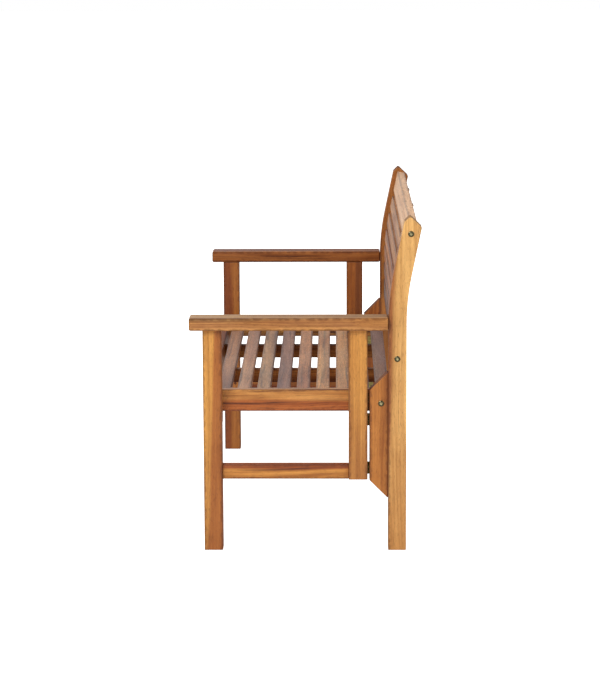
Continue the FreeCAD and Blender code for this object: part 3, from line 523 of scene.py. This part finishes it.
def tinted(code, tint):
    return tuple(min(c * t, 1) for c, t in zip(linear(code), tint)) + (1,)


def grainOf(name, kind, number):
    # what one board gives the grain: its kind's values, changed by chance, or as singles says
    sap, heart, share, figure, streaks, grey, _ = boards[kind]
    chance = np.random.default_rng(wood["firstSeed"] + number)
    seed = tuple(chance.uniform(-wood["seedReach"], wood["seedReach"], 3))
    tint = chance.uniform(*wood["lightness"]) * chance.uniform(*wood["hue"], 3)
    lean = (0, *chance.uniform(-wood["lean"], wood["lean"], 2))
    single = singles.get(name, {})
    if single:
        tint = single["tint"]
        lean = single.get("lean", (0, 0, 0))
    heartColour = linear(single["heart"]) if "heart" in single else tinted(heart, tint)
    return {"Seed": seed, "Sap": tinted(sap, tint), "Heart": heartColour,
            "Streak": linear(wood["streak"]), "Film": tinted(wood["film"], tint),
            "Heart Share": single.get("share", share), "Heart Lean": lean, "Figure": figure,
            "Streaks": streaks, "Grey": grey, "Foot Shade": (*single.get("foot", (1, 1, 1)), 1)}


def woodFinish(name, node, kind, number):
    # one material per board: its own cut of the tree, with the fibres along the board
    middle, half, axes = boardFrame(node)
    turn = tuple(Matrix(axes.tolist()).to_euler("XYZ"))
    material = bpy.data.materials.new(name + "Wood")
    material.use_nodes = True
    make = NodeMaker(material.node_tree)
    shader = material.node_tree.nodes["Principled BSDF"]
    coordinates = make.add("ShaderNodeTexCoord").outputs
    centred = make.vector("SUBTRACT", coordinates["Object"], tuple(middle))
    own = make.add("ShaderNodeMapping", {"Vector": centred, "Rotation": turn}).outputs[0]
    facing = make.add("ShaderNodeMapping", {"Vector": coordinates["Normal"], "Rotation": turn})
    grainNode = make.add("ShaderNodeGroup", node_tree=acaciaGrain)
    edgeNode = make.add("ShaderNodeGroup", node_tree=arrisShade)
    looks = grainOf(name, kind, number)
    for label, source in {**looks, "Vector": own, "Half Length": half[0]}.items():
        make.give(source, grainNode.inputs[label])
    for label, source in (("Vector", own), ("Normal", facing.outputs[0]), ("Half", tuple(half))):
        make.give(source, edgeNode.inputs[label])

    # arrises are darker, partly from oil gathered on them and partly as painted shade of rounded
    # edges; end grain is darker and rougher
    dark = make.math("MULTIPLY", edgeNode.outputs["Arris"], wood["arrisOilAndShade"])
    soaked = make.math("MULTIPLY", edgeNode.outputs["Soak"], wood["soakDark"])
    dark = make.math("ADD", dark, soaked, clamp=True)
    colour = make.mix(dark, grainNode.outputs["Color"], looks["Streak"])
    rough = make.math("MULTIPLY", edgeNode.outputs["Soak"], wood["soakRough"])
    rough = make.math("ADD", grainNode.outputs["Roughness"], rough)
    rough = make.math("ADD", rough, boards[kind][-1], clamp=True)
    bump = make.add("ShaderNodeBump", {"Height": grainNode.outputs["Height"],
                                       "Distance": wood["bumpDepth"],
                                       "Strength": wood["bumpStrength"]})
    make.give(colour, shader.inputs["Base Color"])
    make.give(rough, shader.inputs["Roughness"])
    make.give(bump.outputs[0], shader.inputs["Normal"])
    sheen = wood["dryShare"] if kind in wood["dry"] else 1.0
    shader.inputs["Specular IOR Level"].default_value = wood["specular"] * sheen
    shader.inputs["Coat Weight"].default_value = wood["coat"] * sheen
    shader.inputs["Coat Roughness"].default_value = wood["coatRoughness"]
    return material


def finishBoards():
    for number, (name, node) in enumerate(sorted(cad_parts.items())):
        kind = next((k for k in boards if name == k or name.startswith(k + "_")), None)
        if kind and "screw" not in name:
            node.data.materials.clear()
            node.data.materials.append(woodFinish(name, node, kind, number))


finishBoards()
print("boards finished")

# how each kind is turned, in metres: head radius, rim height, height of its crown over the wood,
# shank radius, and its driver recess; a countersunk head has its rim just under the wood's face
boltHead = {"head": 0.0077, "rim": 0.0009, "crown": 0.0026,
            "recess": "hexagon", "across": 0.0023, "depth": 0.0022}
screwHead = {"head": 0.004, "rim": -0.0001, "crown": 0.0, "shank": 0.002,
             "recess": "cross", "across": 0.0021, "depth": 0.0016}
hingeScrewHead = {**screwHead, "head": 0.0032, "shank": 0.0017, "across": 0.0017, "depth": 0.0013}
fittings = {
    "back_bolts": {**boltHead, "shank": 0.003, "body": "frame"},
    "pivot_bolts": {**boltHead, "shank": 0.004, "body": "frame"},
    "batten_screws": {**screwHead, "body": "frame"},
    "cleat_screws": {**screwHead, "body": "frame"},
    "hinge_screws": {**hingeScrewHead, "body": "frame", "slot": "yellow_zinc"},
    "seat_corner_screws": {**screwHead, "body": "seat"},
    "seat_slat_screws": {**screwHead, "body": "seat"},
}

# what all the turned fittings share
turning = {
    "turns": 48,             # points round a ring
    "rings": 9,              # rings over a crown, and over a cross recess
    "decimals": 6,           # of a metre, within which corners are one point
    "endDepth": 0.0005,      # how much of a solid's length counts as its end
    "steep": 0.9,            # share of upright over which a fitting is turned from another axis
    "crownPower": 2.2,
    "lip": 1.25,             # where the crown starts, in hexagon sizes
    # a hexagon recess from its middle out: shares of the hexagon, of the lip and of the depth, and
    # metres under the top
    "hexagonRings": ((0.02, 0, 1.15, 0), (0.96, 0, 1, 0), (1, 0, 0.92, 0),
                     (1, 0, 0, 0.0003), (0.3, 0.7, 0, 0.00002)),
    "crossLip": 1.08,        # where the crown starts, in cross sizes
    "crossStart": 0.04,      # share of the cross at its innermost ring
    "armHalf": 0.0006,       # half width of a cross's arm, metres
    "armSlope": 0.0002,      # width of the slope down into it
    "armRise": 0.75,         # how much shallower an arm is at its end
    "countersink": 0.0024,   # height of a countersunk head
    "thinEdge": 0.0001,      # its upright edge
    "point": 0.97,           # share of the shank before its point
    "pointRadius": 0.1,
    "sharpAngle": 38,        # degrees
}


def separateSolids(node):
    # the points of each solid in a node: corners at one place are one point, and the lowest label
    # spreads over the triangles until nothing changes
    mesh = node.data
    points = np.empty(len(mesh.vertices) * 3)
    corners = np.empty(len(mesh.loops), dtype=int)
    mesh.vertices.foreach_get("co", points)
    mesh.loops.foreach_get("vertex_index", corners)
    points = np.round(points.reshape(-1, 3), turning["decimals"])
    points, same = np.unique(points, axis=0, return_inverse=True)
    triangles = same.reshape(-1)[corners].reshape(-1, 3)
    labels = np.arange(len(points))
    while True:
        lowest = labels[triangles].min(axis=1)
        before = labels.copy()
        np.minimum.at(labels, triangles, lowest[:, None])
        if np.array_equal(before, labels):
            return [points[labels == label] for label in np.unique(labels)]


def headEnd(points):
    # centre of a bolt's or screw's head, the way it points and the length: its long axis is the
    # first principal direction, and the head is the end whose points lie further from that axis
    middle = points.mean(axis=0)
    way = np.linalg.svd(points - middle)[2][0]
    along = (points - middle) @ way
    radius = np.linalg.norm(points - middle - np.outer(along, way), axis=1)
    end = turning["endDepth"]
    wide = {sign: radius[along * sign > (along * sign).max() - end].max() for sign in (1, -1)}
    way = way * max(wide, key=lambda sign: (wide[sign], sign))
    along = (points - middle) @ way
    rim = points[np.abs(along - along.max()) < end]
    return (rim.min(axis=0) + rim.max(axis=0)) / 2, way, along.max() - along.min()


def hexagonRings(look, top, angle):
    # a hexagon's radius is that of its flats / cos(angle past the nearest flat's middle), and the
    # last ring lies most of the way out to the round lip
    size, depth = look["across"], look["depth"]
    flat = (angle + np.pi / 6) % (np.pi / 3) - np.pi / 6
    hexagon = size * np.cos(np.pi / 6) / np.cos(flat)
    lip = size * turning["lip"]
    return [(hexagon * own + lip * outer, top - depth * deep - drop)
            for own, outer, deep, drop in turning["hexagonRings"]], lip


def crossRings(look, top, angle):
    # round rings, each point lowered where it lies within an arm's half width, less so further out
    size = look["across"]
    arms = np.abs(np.stack([np.cos(angle), np.sin(angle)])).min(axis=0)
    rings = []
    for share in np.linspace(turning["crossStart"], 1, turning["rings"]):
        arm = np.clip((turning["armHalf"] - arms * size * share) / turning["armSlope"], 0, 1)
        fall = look["depth"] * arm * (1.0 - turning["armRise"] * share ** 2)
        rings.append((size * share, top - fall))
    return rings, size * turning["crossLip"]


def turnedFitting(look, length):
    # A turned head on its shank, as rings about +Z with the wood's face at height 0.  From the
    # recess outwards a ring is a circle, and the crown falls with a power of the share of the way.
    turns = turning["turns"]
    angle = np.linspace(0, 2 * np.pi, turns, endpoint=False)
    head, rim, crown, shank = (look[key] for key in ("head", "rim", "crown", "shank"))
    raised = crown > 0
    top = crown if raised else rim
    recess = hexagonRings if look["recess"] == "hexagon" else crossRings
    rings, inner = recess(look, top, angle)
    for share in np.linspace(0, 1, turning["rings"]):
        fall = (top - rim) * share ** turning["crownPower"]
        rings.append((inner + (head - inner) * share, top - fall))
    rings += [(head, 0.0 if raised else rim - turning["thinEdge"]),
              (shank, 0.0 if raised else -turning["countersink"]),
              (shank, -length * turning["point"]), (shank * turning["pointRadius"], -length)]
    radii = np.stack([np.broadcast_to(radius, turns) for radius, _ in rings])
    heights = np.stack([np.broadcast_to(height, turns) for _, height in rings])
    points = np.stack([radii * np.cos(angle), radii * np.sin(angle), heights], axis=-1)
    ends = [[0, 0, heights[0].mean()], [0, 0, -length]]
    points = np.concatenate([points.reshape(-1, 3), ends])
    rimShare = np.concatenate([np.clip(radii / head, 0, 1).reshape(-1), [0, 0]])
    row = np.arange(len(rings) - 1)[:, None] * turns
    here = np.arange(turns)
    after = (here + 1) % turns
    quads = np.stack([row + here, row + turns + here, row + turns + after, row + after], axis=-1)
    first = len(rings) * turns
    base = first - turns
    inside = np.stack([np.full(turns, first), here, after], axis=-1)
    tip = np.stack([np.full(turns, first + 1), base + after, base + here], axis=-1)
    return points, quads.reshape(-1, 4), np.concatenate([inside, tip]), rimShare


def turnFittings(name, look):
    # one piece for all the bolts or screws of a node, each set on its own solid's head end
    parts = []
    offset = 0
    for solid in separateSolids(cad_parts[name]):
        centre, way, length = headEnd(solid)
        points, quads, caps, rimShare = turnedFitting(look, length - look["crown"])
        side = np.cross(way, (0.0, 0.0, 1.0) if abs(way[2]) < turning["steep"] else (1.0, 0.0, 0.0))
        side /= np.linalg.norm(side)
        axes = np.stack([side, np.cross(way, side), way])
        points = points @ axes + centre - way * look["crown"]
        parts.append((points, quads + offset, caps + offset, rimShare))
        offset += len(points)
    points, quads, caps, rimShare = (np.concatenate(group) for group in zip(*parts))
    mesh = bpy.data.meshes.new(name + "_turned")
    mesh.from_pydata(points.tolist(), [], quads.tolist() + caps.tolist())
    mesh.attributes.new("rimShare", "FLOAT", "POINT").data.foreach_set("value", rimShare)
    mesh.polygons.foreach_set("use_smooth", np.ones(len(mesh.polygons), dtype=bool))
    mesh.set_sharp_from_angle(angle=math.radians(turning["sharpAngle"]))
    piece = bpy.data.objects.new(name + "_turned", mesh)
    scene.collection.objects.link(piece)
    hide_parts(name)
    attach(piece, look["body"])
    return piece


plating = {
    "clouds": ((190, 190, 190), (0, 0, 0), 3, 0.6),
    "cloudRamp": (0.35, 0.65),
    "cloudShare": 0.6,
    "cloudRough": 0.1,
    "tint": ((90, 90, 90), (5, 1, 3), 2, 0.5),
    "tintRamp": (0.5, 0.75),
    "tintShare": 0.3,
    "spots": ((1400, 1400, 1400), (1, 4, 2), 2, 0.5),
    "spotRamp": (0.55, 0.7),
    "spotRough": 0.15,
    "rim": "2e2614",         # painted dark reflection round a turned head
    "reflectionRimRamp": (0.30, 0.55),
}


def makePlating():
    # zinc plating passivated yellow: slow clouds between two tones, a faint third tint, fine spots
    group, make, given, result = newGroup("platedZinc", [
        ("Vector", "Vector", None),
        ("Bright", "Color", (0.7, 0.6, 0.4, 1)),
        ("Dull", "Color", (0.3, 0.25, 0.1, 1)),
        ("Tint", "Color", (0.5, 0.3, 0.3, 1)),
        ("Wear", "Float", 0.3),
    ], [("Color", "Color"), ("Roughness", "Float")])
    clouds = make.ramp(make.noise(given["Vector"], plating["clouds"]), *plating["cloudRamp"])
    tint = make.ramp(make.noise(given["Vector"], plating["tint"]), *plating["tintRamp"])
    spots = make.ramp(make.noise(given["Vector"], plating["spots"]), *plating["spotRamp"])
    cloudShare = make.math("MULTIPLY", clouds, plating["cloudShare"])
    colour = make.mix(cloudShare, given["Bright"], given["Dull"])
    colour = make.mix(make.math("MULTIPLY", tint, plating["tintShare"]), colour, given["Tint"])
    colour = make.mix(make.math("MULTIPLY", spots, given["Wear"]), colour, given["Dull"])
    rough = make.math("ADD", make.math("MULTIPLY", clouds, plating["cloudRough"]),
                      make.math("MULTIPLY", spots, plating["spotRough"]))
    make.give(colour, result["Color"])
    make.give(rough, result["Roughness"])
    return group


platedZinc = makePlating()

# bright and dull tone, tint, wear, roughness, how dark the painted reflection round the rim of a
# turned head is; the first key found in a node's name is taken
metals = {
    "hinge_screws": ("b8ab78", "6f6438", "a06a6a", 0.4, 0.30, 0.3),
    "hinge_": ("b4a66a", "857a46", "a0706a", 0.35, 0.40, 0.0),
    "back_bolts": ("d8cfa0", "6a6038", "9a7058", 0.3, 0.24, 0.85),
    "pivot_bolts": ("d8cfa0", "6a6038", "9a7058", 0.3, 0.24, 0.85),
    "pivot_": ("b5ad88", "77704c", "9a7868", 0.35, 0.34, 0.0),
    "barrel_nuts": ("a9a79c", "76746a", "8a8078", 0.3, 0.38, 0.0),
    "_screws": ("b8ab78", "6f6438", "a06a6a", 0.4, 0.30, 0.3),
}


def metalFinish(name, look):
    bright, dull, tint, wear, roughness, rimReflectionDark = look
    material = bpy.data.materials.new(name + "Plate")
    material.use_nodes = True
    make = NodeMaker(material.node_tree)
    shader = material.node_tree.nodes["Principled BSDF"]
    zinc = make.add("ShaderNodeGroup", node_tree=platedZinc)
    make.give(make.add("ShaderNodeTexCoord").outputs["Object"], zinc.inputs["Vector"])
    for label, code in (("Bright", bright), ("Dull", dull), ("Tint", tint)):
        zinc.inputs[label].default_value = linear(code)
    zinc.inputs["Wear"].default_value = wear
    colour = zinc.outputs["Color"]
    # a painted dark reflection round the rim of a turned head, darker towards its edge
    if rimReflectionDark:
        rim = make.add("ShaderNodeAttribute", attribute_name="rimShare").outputs["Fac"]
        shade = make.math("MULTIPLY", make.ramp(rim, *plating["reflectionRimRamp"]), rimReflectionDark)
        colour = make.mix(shade, colour, linear(plating["rim"]))
    make.give(colour, shader.inputs["Base Color"])
    make.give(make.math("ADD", zinc.outputs["Roughness"], roughness), shader.inputs["Roughness"])
    shader.inputs["Metallic"].default_value = 1.0
    return material


def finishFittings():
    for name, node in sorted(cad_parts.items()):
        key = next((k for k in metals if k in name), None)
        if key:
            piece = turnFittings(name, fittings[name]) if name in fittings else node
            piece.data.materials.clear()
            piece.data.materials.append(metalFinish(name, metals[key]))


finishFittings()
print("bolts, screws and hinges finished")
